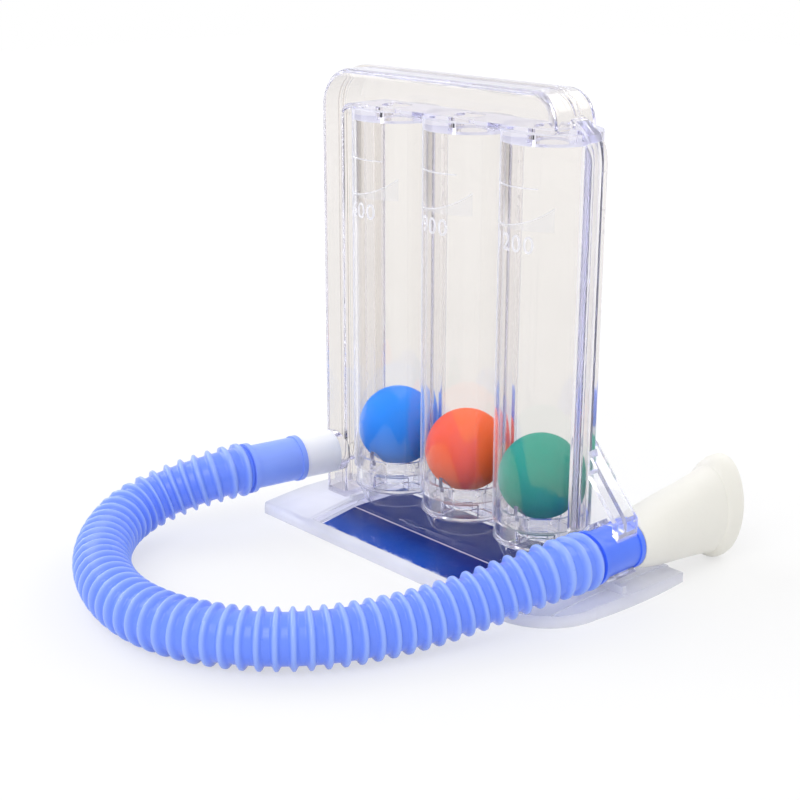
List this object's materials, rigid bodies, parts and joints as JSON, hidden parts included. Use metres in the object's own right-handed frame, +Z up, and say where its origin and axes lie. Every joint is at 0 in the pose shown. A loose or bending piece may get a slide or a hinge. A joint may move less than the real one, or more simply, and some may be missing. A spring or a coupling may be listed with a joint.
{
  "type": "incentive spirometer",
  "caption": "Clear bedside breathing exerciser: balls rise in upright tubes as air is drawn through a corrugated hose and oval mouthpiece.",
  "frame": {"origin": "middle of the base's underside, on the surface the device stands on", "axes": "+X to the device's right along the row of tubes, +Y to the back, +Z up"},
  "size_m": [0.1446, 0.173, 0.1445],
  "materials": {
    "clear_base": "clear, glossy",
    "clear_shell": "clear, glossy",
    "clear_cup": "clear, glossy",
    "card": "printed, seen through the clear panel",
    "frosted": "frosted, translucent",
    "frosted_white": "frosted off-white, translucent",
    "hose_blue": "semi-gloss, slightly translucent",
    "ball_blue": "satin",
    "ball_orange": "satin",
    "ball_green": "satin"
  },
  "bodies": {
    "device": {"base": "clear_base", "base_card": "card", "front_shell": "clear_shell", "rear_shell": "clear_shell", "inlet_cup_left": "clear_cup", "inlet_cup_centre": "clear_cup", "inlet_cup_right": "clear_cup", "mouthpiece_clip": "clear_shell", "port_adapter": "frosted", "hose_cuff_port": "hose_blue", "hose": "hose_blue", "hose_cuff_mouth": "hose_blue"},
    "ball_left_body": {"ball_left": "ball_blue"},
    "ball_centre_body": {"ball_centre": "ball_orange"},
    "ball_right_body": {"ball_right": "ball_green"},
    "mouthpiece_body": {"mouthpiece": "frosted_white"}
  },
  "joints": [
    {"name": "ball_left_rise", "type": "slide", "parent": "device", "child": "ball_left_body", "axis": [0, 0, 1], "range_m": [0, 0.0848]},
    {"name": "ball_centre_rise", "type": "slide", "parent": "device", "child": "ball_centre_body", "axis": [0, 0, 1], "range_m": [0, 0.0848]},
    {"name": "ball_right_rise", "type": "slide", "parent": "device", "child": "ball_right_body", "axis": [0, 0, 1], "range_m": [0, 0.0848]},
    {"name": "mouthpiece_pull", "type": "slide", "parent": "device", "child": "mouthpiece_body", "axis": [0, 1, 0], "range_m": [0, 0.012]}
  ]
}
